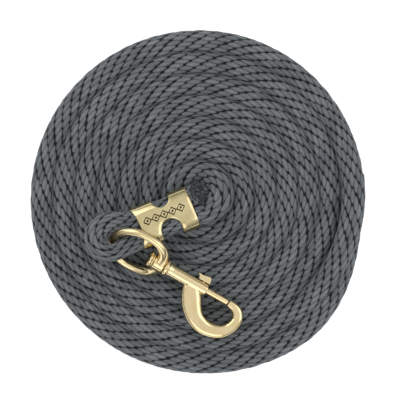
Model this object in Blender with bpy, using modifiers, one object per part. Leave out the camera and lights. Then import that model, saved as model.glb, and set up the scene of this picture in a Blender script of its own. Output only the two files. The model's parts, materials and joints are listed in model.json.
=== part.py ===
"""Lead rope for a horse: a soft solid-braid rope wound into a flat spiral, with a brass bolt
snap held in its doubled end by a crimped brass clamp.

Metres, +Z up.  The coil lies on the XY plane and the origin is under the middle of the object.
"""
import math

import bmesh
import bpy
from mathutils import Matrix, Vector

MM = 0.001
GAP = 0.3 * MM                      # clearance between pieces that touch

# rope and its flat coil
ROPE_RADIUS = 7.6 * MM
TURN_PITCH = 15.14 * MM             # from one turn's middle to the next
COIL_CENTRE = Vector((3.7 * MM, 3.7 * MM))
SPIRAL_START = 14.2 * MM            # radius of the rope's middle at angle 0
LAST_ANGLE = math.radians(2518)     # where the far end lies, counted from angle 0
TUCK_SPAN = math.radians(55)        # over this last stretch the end runs in under its neighbour
FIRST_TURN_END = math.radians(330)  # the free strand joins the coil here
JOIN_GAP = math.radians(5)          # angle left between the strand's end and the coil
COIL_SIDES = 72                     # outline points in one turn

# clamp: a stamped plate with four prongs, bent round two strands side by side
CLAMP_CENTRE = Vector((-22.6, -11.4, 27.1)) * MM
CLAMP_YAW = math.radians(22.5)
CLAMP_TILT = math.radians(8)        # its left end is lifted by the eye
CLAMP_LENGTH = 41.4 * MM
CLAMP_SHEET = 1.4 * MM
CLAMPED_RADIUS = 6.7 * MM           # the rope is squeezed inside it

# snap: its own frame has X along the swivel axis and its origin at the ring's centre
SNAP_CENTRE = Vector((-41.3, -33.8, 32.0)) * MM
SNAP_YAW = math.radians(-29.9)
SNAP_DIP = math.radians(8)
RING_TILT = math.radians(48)
RING_RADIUS = 18.4 * MM
RING_WIRE = 2.6 * MM
RING_SHOULDER = 1.5 * MM            # the ring bulges out this far on both sides of its boss
RING_THICKENING = 1.9 * MM          # and its wire thickens towards it
BOSS_RADIUS = 5.4 * MM
BOSS_FROM = 13.3 * MM
BOSS_TO = 21.6 * MM
RIVET_RADIUS = 1.75 * MM
RIVET_HEAD = 5.8 * MM
WASHER_RADIUS = 5.2 * MM
COLLAR_RADIUS = 6.0 * MM
BARREL_FROM = 26.7 * MM
BARREL_TO = 55.6 * MM
BARREL_RADIUS = 4.5 * MM
BORE_FROM = 27.6 * MM
BORE_RADIUS = 2.65 * MM
BOLT_RADIUS = 2.35 * MM
BOLT_FROM = 45.5 * MM
BOLT_TO = 73.0 * MM
KNOB_POST_AT = 51.4 * MM
KNOB_POST_RADIUS = 1.3 * MM
SLOT_WIDTH = 3.2 * MM
BOLT_TRAVEL = 11.0 * MM
SPRING_TURNS = 8
SPRING_WIRE = 0.3 * MM

BRASS = (0.80, 0.63, 0.33, 1.0)
ROPE_GREY = (0.115, 0.128, 0.138, 1.0)
SEALED_GREY = (0.035, 0.036, 0.038, 1.0)
STEEL = (0.55, 0.56, 0.57, 1.0)


def clear_scene():
    for obj in list(bpy.data.objects):
        bpy.data.objects.remove(obj, do_unlink=True)


def new_collection(name):
    collection = bpy.data.collections.new(name)
    bpy.context.scene.collection.children.link(collection)
    return collection


def new_material(name, colour, roughness, metallic):
    material = bpy.data.materials.new(name)
    material.use_nodes = True
    shader = material.node_tree.nodes["Principled BSDF"]
    shader.inputs["Base Color"].default_value = colour
    shader.inputs["Roughness"].default_value = roughness
    shader.inputs["Metallic"].default_value = metallic
    return material


clear_scene()
PARTS = new_collection("lead_rope")
CUTTERS = new_collection("cutters")
BRASS_MATERIAL = new_material("brass", BRASS, 0.25, 1.0)
ROPE_MATERIAL = new_material("rope", ROPE_GREY, 0.9, 0.0)
SEALED_MATERIAL = new_material("sealed_end", SEALED_GREY, 0.6, 0.0)
STEEL_MATERIAL = new_material("steel", STEEL, 0.35, 1.0)


def add_piece(name, data, material, parent=None):
    """Put mesh or curve data in the scene as a finished sub-part."""
    obj = bpy.data.objects.new(name, data)
    data.materials.clear()
    data.materials.append(material)
    PARTS.objects.link(obj)
    obj.parent = parent
    return obj


def add_cutter(name, data, parent=None):
    """Put a Boolean operand in the scene, hidden and drawn as wire."""
    obj = bpy.data.objects.new(name, data)
    CUTTERS.objects.link(obj)
    obj.parent = parent
    obj.hide_render = True
    obj.display_type = "WIRE"
    return obj


def add_boolean(obj, other, operation):
    modifier = obj.modifiers.new(operation.lower(), "BOOLEAN")
    modifier.operation = operation
    modifier.solver = "EXACT"
    modifier.object = other


def add_bevel(obj, width, segments, angle=40):
    modifier = obj.modifiers.new("bevel", "BEVEL")
    modifier.width = width
    modifier.segments = segments
    modifier.limit_method = "ANGLE"
    modifier.angle_limit = math.radians(angle)


def shade_round(mesh):
    mesh.shade_smooth()
    mesh.set_sharp_from_angle(angle=math.radians(40))


def rod_mesh(name, start, end, radius, sides=24):
    """A round rod along X from start to end."""
    mesh = bpy.data.meshes.new(name)
    bm = bmesh.new()
    middle = Matrix.Translation(((start + end) / 2, 0, 0)) @ Matrix.Rotation(math.pi / 2, 4, "Y")
    bmesh.ops.create_cone(bm, cap_ends=True, segments=sides, radius1=radius, radius2=radius,
                          depth=end - start, matrix=middle)
    bm.to_mesh(mesh)
    bm.free()
    shade_round(mesh)
    return mesh


def turned_mesh(name, profile, sides=32):
    """Spin (x, radius) points round the X axis into one closed body."""
    mesh = bpy.data.meshes.new(name)
    bm = bmesh.new()
    verts = [bm.verts.new((x, radius, 0)) for x, radius in profile]
    edges = [bm.edges.new(pair) for pair in zip(verts, verts[1:])]
    if profile[0][1] > 0:
        edges.append(bm.edges.new((verts[-1], verts[0])))
    bmesh.ops.spin(bm, geom=verts + edges, cent=(0, 0, 0), axis=(1, 0, 0),
                   angle=2 * math.pi, steps=sides, use_merge=True)
    bmesh.ops.remove_doubles(bm, verts=bm.verts, dist=1e-7)
    bmesh.ops.recalc_face_normals(bm, faces=bm.faces)
    bm.to_mesh(mesh)
    bm.free()
    shade_round(mesh)
    return mesh


def smooth_path(points, steps):
    """Points along a Catmull-Rom curve through the given ones, numbers of any length."""
    ends = [2 * points[0] - points[1]] + points + [2 * points[-1] - points[-2]]
    path = []
    for a, b, c, d in zip(ends, ends[1:], ends[2:], ends[3:]):
        for k in range(steps):
            t = k / steps
            path.append(0.5 * (2 * b + (c - a) * t + (2 * a - 5 * b + 4 * c - d) * t ** 2
                               + (3 * b - a - 3 * c + d) * t ** 3))
    path.append(points[-1])
    return path


def spiral_point(angle, height=ROPE_RADIUS):
    """The rope's middle in the coil; its last stretch runs in under the turn inside it."""
    radius = SPIRAL_START + TURN_PITCH * angle / (2 * math.pi)
    share = min(1.0, max(0.0, (angle - LAST_ANGLE + TUCK_SPAN) / TUCK_SPAN))
    radius -= TURN_PITCH * share * share * (3 - 2 * share)
    flat = COIL_CENTRE + radius * Vector((math.cos(angle), math.sin(angle)))
    return Vector((flat.x, flat.y, height))


def coil_edge(start, reach):
    """One full turn of the coil's edge, that far outside (or inside) the rope's middle."""
    edge = []
    for k in range(COIL_SIDES + 1):
        angle = start + 2 * math.pi * k / COIL_SIDES
        outward = Vector((math.cos(angle), math.sin(angle), 0))
        edge.append(spiral_point(angle, 0) + reach * outward)
    return edge


def make_rope_coil():
    """The wound rope as one flat solid with the coil's true outline and centre hole."""
    curve = bpy.data.curves.new("rope_coil", "CURVE")
    curve.dimensions = "2D"
    curve.fill_mode = "BOTH"
    curve.extrude = ROPE_RADIUS
    # the far end has run in under its neighbour, so the outline closes one tuck before it
    outer = coil_edge(LAST_ANGLE - 2 * math.pi, ROPE_RADIUS)
    inner = coil_edge(FIRST_TURN_END, 0.4 * MM - ROPE_RADIUS)
    for edge in (outer, inner):
        spline = curve.splines.new("POLY")
        spline.points.add(len(edge) - 1)
        for point, place in zip(spline.points, edge):
            point.co = (place.x, place.y, 0, 1)
        spline.use_cyclic_u = True
    guide = bpy.data.objects.new("coil_outline", curve)
    CUTTERS.objects.link(guide)
    guide.location.z = ROPE_RADIUS
    bpy.context.view_layer.update()
    mesh = bpy.data.meshes.new_from_object(guide.evaluated_get(bpy.context.evaluated_depsgraph_get()))
    place = guide.matrix_world.copy()
    bpy.data.objects.remove(guide)
    bm = bmesh.new()
    bm.from_mesh(mesh)
    bmesh.ops.remove_doubles(bm, verts=bm.verts, dist=1e-6)
    bmesh.ops.dissolve_degenerate(bm, dist=1e-6, edges=bm.edges)
    bmesh.ops.recalc_face_normals(bm, faces=bm.faces)
    bm.to_mesh(mesh)
    bm.free()
    add_piece("rope_coil", mesh, ROPE_MATERIAL).matrix_world = place


def clamp_place(along, across, above=0.0):
    """A point in the clamp's tilted frame: along the strands, across them, above them."""
    turn = Matrix.Rotation(CLAMP_YAW, 3, "Z") @ Matrix.Rotation(CLAMP_TILT, 3, "Y")
    return CLAMP_CENTRE + turn @ Vector((along, across, above))


def strand_route():
    """The free strand as (x, y, z, radius) points: sealed tail, clamp, bight, clamp, first turn."""
    half = CLAMP_LENGTH / 2
    lane = CLAMPED_RADIUS + 0.1 * MM
    slim = CLAMPED_RADIUS
    route = [(*clamp_place(28.4 * MM, 7.6 * MM, 4.4 * MM), slim + 0.2 * MM)]
    route.append((*clamp_place(25.8 * MM, 7.1 * MM, 0.9 * MM), slim))
    for along in (half + 1.5 * MM, 0.55 * half, -0.55 * half, -half - 1.5 * MM):
        route.append((*clamp_place(along, lane), slim))
    # round the bight, by hand: over the ring's low side and back through it
    for x, y, z, radius in (
        (-51.5, -14.6, 31.6, 7.2), (-60.0, -14.6, 33.2, 7.4), (-67.2, -18.6, 35.0, 7.4),
        (-69.6, -26.0, 36.8, 7.2), (-65.8, -32.4, 37.6, 6.6), (-57.4, -34.8, 37.4, 6.2),
        (-48.2, -30.6, 34.4, 6.5),
    ):
        route.append((x * MM, y * MM, z * MM, radius * MM))
    for along in (-half - 1.5 * MM, -0.55 * half, 0.55 * half, half + 1.5 * MM):
        route.append((*clamp_place(along, -lane), slim))
    route.append((6.4 * MM, -8.3 * MM, 23.0 * MM, 7.3 * MM))
    start, floor_at = math.radians(-28), math.radians(118)
    steps = 22
    for k in range(steps + 1):
        angle = start + (FIRST_TURN_END - JOIN_GAP - start) * k / steps
        share = min(1.0, (angle - start) / (floor_at - start))
        height = ROPE_RADIUS + 13.6 * MM * 0.5 * (1 + math.cos(math.pi * share))
        route.append((*spiral_point(angle, height), ROPE_RADIUS))
    return route


def strand_path():
    """The route's points, rounded into a smooth curve."""
    return smooth_path([Vector(point) for point in strand_route()], 2)


def make_rope_strand():
    """The free stretch of rope: one tube from the sealed tail to where it joins the coil."""
    curve = bpy.data.curves.new("rope_strand", "CURVE")
    curve.dimensions = "3D"
    curve.bevel_depth = ROPE_RADIUS
    curve.bevel_resolution = 3
    curve.use_fill_caps = True
    path = strand_path()
    spline = curve.splines.new("POLY")
    spline.points.add(len(path) - 1)
    for point, (x, y, z, radius) in zip(spline.points, path):
        point.co = (x, y, z, 1)
        point.radius = radius / ROPE_RADIUS
    return add_piece("rope_strand", curve, ROPE_MATERIAL)


def make_tail_seal():
    """The tail's melted end, a low dark dome facing out of the cut."""
    end, before = [point.xyz for point in strand_path()[:2]]
    direction = (end - before).normalized()
    radius = CLAMPED_RADIUS
    profile = [(GAP, 0.0), (GAP, radius), (1.0 * MM, radius), (1.8 * MM, radius * 0.72),
               (2.1 * MM, radius * 0.3), (2.2 * MM, 0.0)]
    seal = add_piece("rope_tail_seal", turned_mesh("rope_tail_seal", profile, 24), SEALED_MATERIAL)
    seal.location = end
    seal.rotation_euler = direction.to_track_quat("X", "Z").to_euler()


def clamp_section():
    """The clamp's cross-section, middle of the sheet: flat on top, curled under both strands."""
    reach = CLAMPED_RADIUS + GAP + CLAMP_SHEET / 2
    lane = CLAMPED_RADIUS + 0.1 * MM
    right = []
    for degrees in range(90, -136, -15):
        angle = math.radians(degrees)
        right.append((lane + reach * math.cos(angle), reach * math.sin(angle)))
    left = [(-y, z) for y, z in reversed(right)]
    return left + [(0.0, reach)] + right


def make_rope_clamp():
    """A stamped brass plate whose four prongs wrap down and under the doubled rope."""
    mesh = bpy.data.meshes.new("rope_clamp")
    bm = bmesh.new()
    section = clamp_section()
    ends = []
    for x in (-CLAMP_LENGTH / 2, CLAMP_LENGTH / 2):
        ends.append([bm.verts.new((x, y, z)) for y, z in section])
    for k in range(len(section) - 1):
        bm.faces.new((ends[0][k], ends[1][k], ends[1][k + 1], ends[0][k + 1]))
    bmesh.ops.recalc_face_normals(bm, faces=bm.faces)
    bm.to_mesh(mesh)
    bm.free()
    shade_round(mesh)
    clamp = add_piece("rope_clamp", mesh, BRASS_MATERIAL)
    clamp.location = CLAMP_CENTRE
    clamp.rotation_euler = (0, CLAMP_TILT, CLAMP_YAW)
    shell = clamp.modifiers.new("sheet", "SOLIDIFY")
    shell.thickness = CLAMP_SHEET
    shell.offset = 0
    # rounded notches between the prongs, and hollowed ends
    notches = (
        ("notch_low", 1.4, -9.0, -30.0, 7.4), ("notch_high", 1.4, 13.8, 30.0, 6.2),
        ("notch_under", 1.4, -30.0, 30.0, 7.4),
    )
    for name, along, start, stop, radius in notches:
        depth = (-20, -1.5) if name == "notch_under" else (-20, 20)
        cutter = add_cutter(name, slot_mesh(name, along, start, stop, radius, depth), clamp)
        add_boolean(clamp, cutter, "DIFFERENCE")
    for name, along, radius in (("hollow_left", -58.6, 40.2), ("hollow_right", 100.6, 79.6)):
        mesh = bpy.data.meshes.new(name)
        bm = bmesh.new()
        bmesh.ops.create_cone(bm, cap_ends=True, segments=96, radius1=radius * MM,
                              radius2=radius * MM, depth=50 * MM)
        bm.to_mesh(mesh)
        bm.free()
        cutter = add_cutter(name, mesh, clamp)
        cutter.location = (along * MM, 2.0 * MM, 0)
        add_boolean(clamp, cutter, "DIFFERENCE")


def slot_mesh(name, along, start, stop, radius, depth):
    """A tall slot cutter with round ends, from start to stop across the clamp, in mm."""
    mesh = bpy.data.meshes.new(name)
    bm = bmesh.new()
    outline = []
    low, high = sorted((start, stop))
    for k in range(13):
        angle = math.pi * k / 12
        outline.append((along + radius * math.cos(angle), high + radius * math.sin(angle)))
    for k in range(13):
        angle = math.pi + math.pi * k / 12
        outline.append((along + radius * math.cos(angle), low + radius * math.sin(angle)))
    bottom = [bm.verts.new((x * MM, y * MM, depth[0] * MM)) for x, y in outline]
    face = bm.faces.new(bottom)
    grown = bmesh.ops.extrude_face_region(bm, geom=[face])
    lifted = [item for item in grown["geom"] if isinstance(item, bmesh.types.BMVert)]
    bmesh.ops.translate(bm, verts=lifted, vec=(0, 0, (depth[1] - depth[0]) * MM))
    bmesh.ops.recalc_face_normals(bm, faces=bm.faces)
    bm.to_mesh(mesh)
    bm.free()
    return mesh


def bar_mesh(name, stations, sides=16, steps=3):
    """A bar in the XY plane through (x, y, half width, half height) stations, in mm."""
    path = smooth_path([Vector(station) * MM for station in stations], steps)
    mesh = bpy.data.meshes.new(name)
    bm = bmesh.new()
    rings = []
    for k, (x, y, wide, high) in enumerate(path):
        ahead = path[min(k + 1, len(path) - 1)] - path[max(k - 1, 0)]
        across = Vector((-ahead.y, ahead.x, 0)).normalized()
        ring = []
        for side in range(sides):
            angle = 2 * math.pi * side / sides
            ring.append(bm.verts.new(Vector((x, y, 0)) + wide * math.cos(angle) * across
                                     + Vector((0, 0, high * math.sin(angle)))))
        rings.append(ring)
    for ring, after in zip(rings, rings[1:]):
        for side in range(sides):
            turn = (side + 1) % sides
            bm.faces.new((ring[side], ring[turn], after[turn], after[side]))
    bm.faces.new(rings[0])
    bm.faces.new(rings[-1])
    bmesh.ops.recalc_face_normals(bm, faces=bm.faces)
    bm.to_mesh(mesh)
    bm.free()
    shade_round(mesh)
    return mesh


def make_snap_frames():
    """Empties on the two swinging axes: the ring's far side in the bight, and the swivel."""
    hinge = bpy.data.objects.new("eye_hinge", None)
    PARTS.objects.link(hinge)
    turn = Matrix.Rotation(SNAP_YAW, 4, "Z") @ Matrix.Rotation(SNAP_DIP, 4, "Y")
    hinge.matrix_world = Matrix.Translation(SNAP_CENTRE) @ turn @ Matrix.Translation(
        (-RING_RADIUS, 0, 0))
    swivel = bpy.data.objects.new("swivel_axis", None)
    PARTS.objects.link(swivel)
    swivel.parent = hinge
    swivel.location = (RING_RADIUS, 0, 0)
    return swivel


def make_swivel_eye(swivel):
    """The round eye: a ring that thickens into a bored boss."""
    mesh = bpy.data.meshes.new("swivel_eye")
    bm = bmesh.new()
    around, sides = 48, 14
    rings = []
    for k in range(around):
        angle = 2 * math.pi * k / around
        off = min(angle, 2 * math.pi - angle)
        wire = RING_WIRE + RING_THICKENING * math.exp(-(off / math.radians(45)) ** 2)
        radius = RING_RADIUS
        if off < math.pi / 2:
            radius += RING_SHOULDER * math.sin(2 * off) ** 2
        out = Vector((math.cos(angle), math.sin(angle), 0))
        ring = []
        for side in range(sides):
            turn = 2 * math.pi * side / sides
            ring.append(bm.verts.new(out * (radius + wire * math.cos(turn))
                                     + Vector((0, 0, wire * math.sin(turn)))))
        rings.append(ring)
    for k in range(around):
        ring, after = rings[k], rings[(k + 1) % around]
        for side in range(sides):
            turn = (side + 1) % sides
            bm.faces.new((ring[side], after[side], after[turn], ring[turn]))
    bmesh.ops.recalc_face_normals(bm, faces=bm.faces)
    bm.to_mesh(mesh)
    bm.free()
    shade_round(mesh)
    eye = add_piece("swivel_eye", mesh, BRASS_MATERIAL, swivel)
    eye.rotation_euler = (RING_TILT, 0, 0)
    step = 0.6 * MM
    boss = turned_mesh("eye_boss", [
        (BOSS_FROM, 0.0), (BOSS_FROM, BOSS_RADIUS - step), (BOSS_FROM + step, BOSS_RADIUS),
        (BOSS_TO - step, BOSS_RADIUS), (BOSS_TO, BOSS_RADIUS - step), (BOSS_TO, 0.0)])
    add_boolean(eye, add_cutter("eye_boss", boss, eye), "UNION")
    # clear the seat inside the ring, then bore the boss for the rivet
    seat = rod_mesh("eye_seat", 5 * MM, BOSS_FROM, RIVET_HEAD + 0.4 * MM)
    add_boolean(eye, add_cutter("eye_seat", seat, eye), "DIFFERENCE")
    face = rod_mesh("eye_face", BOSS_TO, BOSS_TO + 5 * MM, COLLAR_RADIUS + 0.4 * MM)
    add_boolean(eye, add_cutter("eye_face", face, eye), "DIFFERENCE")
    bore = rod_mesh("eye_bore", 10 * MM, 24 * MM, RIVET_RADIUS + GAP)
    add_boolean(eye, add_cutter("eye_bore", bore, eye), "DIFFERENCE")


def make_swivel_rivet(swivel):
    """The rivet that holds the hook body to the eye, headed inside the ring."""
    under = BOSS_FROM - 1.7 * MM
    top = under - 3.0 * MM
    profile = [
        (top, 0.0), (top + 0.15 * MM, 2.6 * MM), (top + 0.7 * MM, 4.4 * MM),
        (top + 1.5 * MM, RIVET_HEAD), (under, RIVET_HEAD), (under, RIVET_RADIUS),
        (25.9 * MM, RIVET_RADIUS), (25.9 * MM, 0.0)]
    add_piece("swivel_rivet", turned_mesh("swivel_rivet", profile, 28), BRASS_MATERIAL, swivel)


def make_swivel_washer(swivel):
    """The washer between the rivet's head and the boss."""
    back = BOSS_FROM - 1.4 * MM
    front = BOSS_FROM - GAP
    inner = RIVET_RADIUS + GAP
    profile = [(back, inner), (back, WASHER_RADIUS), (front, WASHER_RADIUS), (front, inner)]
    add_piece("swivel_washer", turned_mesh("swivel_washer", profile, 28), BRASS_MATERIAL, swivel)


def make_hook_body(swivel):
    """Collar, bored barrel with the knob's slot, and the hook cast in one."""
    front = BOSS_TO + GAP
    profile = [
        (front, 0.0), (front, COLLAR_RADIUS - 0.5 * MM), (front + 0.5 * MM, COLLAR_RADIUS),
        (24.1 * MM, COLLAR_RADIUS), (24.6 * MM, COLLAR_RADIUS - 0.5 * MM), (25.0 * MM, 5.0 * MM),
        (BARREL_FROM, 4.7 * MM), (28.2 * MM, BARREL_RADIUS), (BARREL_TO - 0.4 * MM, BARREL_RADIUS),
        (BARREL_TO, BARREL_RADIUS - 0.4 * MM), (BARREL_TO, 0.0)]
    body = add_piece("hook_body", turned_mesh("hook_body", profile), BRASS_MATERIAL, swivel)
    stations = [
        (41.0, 0.4, 3.2, 2.4), (44.6, -3.2, 5.6, 3.5), (48.6, -8.9, 6.9, 4.0),
        (52.6, -14.8, 6.7, 4.2), (58.0, -20.0, 6.1, 4.2), (65.2, -22.6, 5.7, 4.2),
        (72.2, -22.4, 5.1, 4.0), (78.8, -19.7, 4.6, 3.9), (83.2, -14.4, 4.1, 3.8),
        (84.6, -8.2, 3.9, 3.6), (82.6, -3.4, 3.7, 3.4), (79.0, -0.9, 3.3, 3.2),
        (74.4, 0.1, 2.8, 2.9)]
    hook = add_cutter("hook_bar", bar_mesh("hook_bar", stations), swivel)
    add_boolean(body, hook, "UNION")
    # the throat ahead of the mouth stays open for the bolt
    bore = rod_mesh("barrel_bore", BORE_FROM, 60 * MM, BORE_RADIUS)
    add_boolean(body, add_cutter("barrel_bore", bore, swivel), "DIFFERENCE")
    socket = rod_mesh("rivet_socket", 20 * MM, 26.2 * MM, RIVET_RADIUS + GAP)
    add_boolean(body, add_cutter("rivet_socket", socket, swivel), "DIFFERENCE")
    slot_from = KNOB_POST_AT - BOLT_TRAVEL - KNOB_POST_RADIUS - 0.4 * MM
    slot_to = KNOB_POST_AT + KNOB_POST_RADIUS + 0.4 * MM
    mesh = bpy.data.meshes.new("knob_slot")
    bm = bmesh.new()
    size = Matrix.Diagonal((slot_to - slot_from, 8 * MM, SLOT_WIDTH, 1))
    centre = Matrix.Translation(((slot_from + slot_to) / 2, 5 * MM, 0))
    bmesh.ops.create_cube(bm, size=1, matrix=centre @ size)
    bm.to_mesh(mesh)
    bm.free()
    add_boolean(body, add_cutter("knob_slot", mesh, swivel), "DIFFERENCE")


def make_bolt(swivel):
    """The spring-loaded bolt, with a blind hole for the knob's post."""
    profile = [
        (BOLT_FROM, 0.0), (BOLT_FROM, BOLT_RADIUS - 0.3 * MM), (BOLT_FROM + 0.3 * MM, BOLT_RADIUS),
        (BOLT_TO - 0.7 * MM, BOLT_RADIUS), (BOLT_TO - 0.2 * MM, 1.7 * MM), (BOLT_TO, 0.9 * MM),
        (BOLT_TO, 0.0)]
    bolt = add_piece("bolt", turned_mesh("bolt", profile, 24), BRASS_MATERIAL, swivel)
    hole = rod_mesh("post_hole", 0, 6 * MM, KNOB_POST_RADIUS + 0.25 * MM, 20)
    cutter = add_cutter("post_hole", hole, swivel)
    cutter.location = (KNOB_POST_AT, 0, 0)
    cutter.rotation_euler = (0, 0, math.pi / 2)
    add_boolean(bolt, cutter, "DIFFERENCE")


def make_thumb_knob(swivel):
    """The thumb knob on its post; its top leans back so that a thumb can pull it."""
    outline = [
        (46.6, 4.8), (55.4, 4.8), (55.2, 6.3), (54.6, 8.5), (53.2, 9.2),
        (50.6, 8.8), (48.0, 8.2), (45.4, 8.4), (44.9, 7.7), (46.2, 6.7)]
    mesh = bpy.data.meshes.new("thumb_knob")
    bm = bmesh.new()
    half = 2.5 * MM
    side = [bm.verts.new((x * MM, y * MM, -half)) for x, y in outline]
    grown = bmesh.ops.extrude_face_region(bm, geom=[bm.faces.new(side)])
    lifted = [item for item in grown["geom"] if isinstance(item, bmesh.types.BMVert)]
    bmesh.ops.translate(bm, verts=lifted, vec=(0, 0, 2 * half))
    bmesh.ops.recalc_face_normals(bm, faces=bm.faces)
    bm.to_mesh(mesh)
    bm.free()
    knob = add_piece("thumb_knob", mesh, BRASS_MATERIAL, swivel)
    add_bevel(knob, 0.5 * MM, 2, 30)
    post = rod_mesh("knob_post", 0.4 * MM, 5.8 * MM, KNOB_POST_RADIUS, 20)
    cutter = add_cutter("knob_post", post, swivel)
    cutter.location = (KNOB_POST_AT, 0, 0)
    cutter.rotation_euler = (0, 0, math.pi / 2)
    add_boolean(knob, cutter, "UNION")


def make_bolt_spring(swivel):
    """The coil spring behind the bolt."""
    curve = bpy.data.curves.new("bolt_spring", "CURVE")
    curve.dimensions = "3D"
    curve.bevel_depth = SPRING_WIRE
    curve.bevel_resolution = 2
    curve.use_fill_caps = True
    start = BORE_FROM + SPRING_WIRE + GAP
    length = BOLT_FROM - SPRING_WIRE - GAP - start
    radius = BORE_RADIUS - SPRING_WIRE - GAP
    count = SPRING_TURNS * 12
    spline = curve.splines.new("POLY")
    spline.points.add(count)
    for k, point in enumerate(spline.points):
        angle = 2 * math.pi * k / 12
        point.co = (start + length * k / count, radius * math.cos(angle), radius * math.sin(angle), 1)
    add_piece("bolt_spring", curve, STEEL_MATERIAL, swivel)


make_rope_coil()
make_rope_strand()
make_tail_seal()
make_rope_clamp()
SWIVEL = make_snap_frames()
make_swivel_eye(SWIVEL)
make_swivel_rivet(SWIVEL)
make_swivel_washer(SWIVEL)
make_hook_body(SWIVEL)
make_bolt(SWIVEL)
make_thumb_knob(SWIVEL)
make_bolt_spring(SWIVEL)
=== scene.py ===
"""Visual model of a horse's lead rope: a solid-braid rope wound into a flat spiral, its doubled end
held by a stamped brass clamp, and a swivel-eye bolt snap in the bight.

Metres, +Z up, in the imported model's own frame.
"""
import json
import math

import bmesh
import bpy
import numpy as np
from mathutils import Matrix, Vector, noise


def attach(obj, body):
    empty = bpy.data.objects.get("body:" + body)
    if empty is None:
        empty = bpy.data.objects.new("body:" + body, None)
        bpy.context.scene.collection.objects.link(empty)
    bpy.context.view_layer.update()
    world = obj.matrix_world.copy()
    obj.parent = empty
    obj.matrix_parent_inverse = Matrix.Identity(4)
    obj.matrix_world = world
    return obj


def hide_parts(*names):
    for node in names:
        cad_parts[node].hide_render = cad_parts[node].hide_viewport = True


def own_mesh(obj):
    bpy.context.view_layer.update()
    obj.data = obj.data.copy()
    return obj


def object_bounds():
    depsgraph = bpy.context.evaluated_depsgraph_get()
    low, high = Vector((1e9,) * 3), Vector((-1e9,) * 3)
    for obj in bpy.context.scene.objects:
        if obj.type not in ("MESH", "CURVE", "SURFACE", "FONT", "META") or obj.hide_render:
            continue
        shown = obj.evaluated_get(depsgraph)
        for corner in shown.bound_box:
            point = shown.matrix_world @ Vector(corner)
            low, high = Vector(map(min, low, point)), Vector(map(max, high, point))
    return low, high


MM = 0.001
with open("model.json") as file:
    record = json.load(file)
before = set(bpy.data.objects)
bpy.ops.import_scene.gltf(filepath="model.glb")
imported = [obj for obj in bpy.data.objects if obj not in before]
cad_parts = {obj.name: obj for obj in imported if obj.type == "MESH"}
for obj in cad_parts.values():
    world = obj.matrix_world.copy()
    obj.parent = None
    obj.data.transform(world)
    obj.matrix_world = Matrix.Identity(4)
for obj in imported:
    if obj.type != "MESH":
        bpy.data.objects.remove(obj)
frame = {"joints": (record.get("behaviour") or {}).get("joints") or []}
CAD_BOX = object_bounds()
JOINTS = {joint["name"]: joint for joint in frame["joints"]}

# rope and its flat coil
ROPE_RADIUS = 7.6 * MM
TURN_PITCH = 15.14 * MM             # from one turn's middle to the next
COIL_CENTRE = Vector((3.7 * MM, 3.7 * MM))
SPIRAL_START = 14.2 * MM            # radius of the rope's middle at angle 0
LAST_ANGLE = math.radians(2518)     # where the far end lies, counted from angle 0
TUCK_SPAN = math.radians(55)        # over this last stretch the end runs in under its neighbour
FIRST_TURN_START = math.radians(-28)
FIRST_TURN_END = math.radians(330)
JOIN_GAP = math.radians(5)
START_INSET = 1.6 * MM              # the first turn starts this much nearer to the middle
START_SWELLING = 1.2 * MM           # and this much thicker, not yet pressed by its neighbours
STRAND_LIFT = 13.6 * MM             # how far the first turn starts above the coil
FIRST_TURN_STEPS = 22
COIL_STEP = math.radians(10)        # from one point of the coil's route to the next
FLOOR_AT = math.radians(118)        # the first turn has come down to the coil's level here
CROSSING = 0.78 * 2 * ROPE_RADIUS   # middle to middle where the rope lies on itself
COME_DOWN = math.radians(38)        # the turn over the tucked end comes down again over this
LIFT_SPREAD = math.radians(9)       # the lift is averaged over this stretch on both sides
LIFT_SAMPLES = 6
SEAL_LENGTH = 2.0 * MM              # how far a melted end stands past the rope
# a melted end's profile, in shares of that length and of its radius
SEAL_PROFILE = [(-0.6, 0.0), (-0.6, 0.90), (0.05, 1.00), (0.5, 1.03), (0.95, 0.93),
                (1.0, 0.72), (0.80, 0.45), (0.86, 0.2), (0.9, 0.0)]
LUMP_SIZE = 2.4 * MM
LUMP_HEIGHT = 0.45 * MM
LUMP_SPREAD = 40                    # how much a lump also widens the end, per metre

# clamp
CLAMP_CENTRE = Vector((-22.6, -11.4, 27.1)) * MM
CLAMP_YAW = math.radians(22.5)
CLAMP_TILT = math.radians(8)
CLAMP_LENGTH = 41.4 * MM
CLAMP_SHEET = 1.4 * MM
CLAMPED_RADIUS = 6.7 * MM
LANE = CLAMPED_RADIUS + 0.1 * MM    # a strand's middle, across the clamp
EXIT_FLARE = 0.4 * MM               # the squeezed rope swells again where it leaves the clamp
TAIL_SWELLING = 0.7 * MM            # and more so at its melted tail
STRAIGHT_PAST = 1.5 * MM            # the strands stay straight this far past the clamp
CLAMP_WRAP = 225                    # degrees that the sheet goes round each strand from its top
WRAP_STEPS = 90
PLATE_CROWN = 0.9 * MM              # how far the plate's ends bow down
NOTCH_AT = 1.4 * MM                 # both notches' middle, along the clamp
LOW_NOTCH_TOP = -9.0 * MM           # middle of the low notch's round end
LOW_NOTCH_RADIUS = 7.4 * MM
HIGH_NOTCH_END = 13.8 * MM          # middle of the high notch's round end
HIGH_NOTCH_RADIUS = 6.2 * MM
UNDERSIDE = -1.5 * MM               # below this the notches part the sheet into four prongs
PAST_CLAMP = 30 * MM                # clear of the clamp across it
CLEAR = 20 * MM                     # and above and below it
LEFT_HOLLOW = (-58.6 * MM, 2.0 * MM, 40.2 * MM)    # the plate's hollow ends: x, y, radius
RIGHT_HOLLOW = (100.6 * MM, 2.0 * MM, 79.6 * MM)
RIM_DROP = 0.9 * MM                 # how far the stamping turns down at the low notch
RIM_WIDTH = 3.6 * MM
END_RIM_SHARE = 0.45                # of that drop at the hollow ends
LOZENGE_CHAIN = 31 * MM             # the engraved chain of lozenges
LOZENGE_LENGTH = 6.2 * MM
LOZENGE_WIDTH = 5.8 * MM
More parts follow.
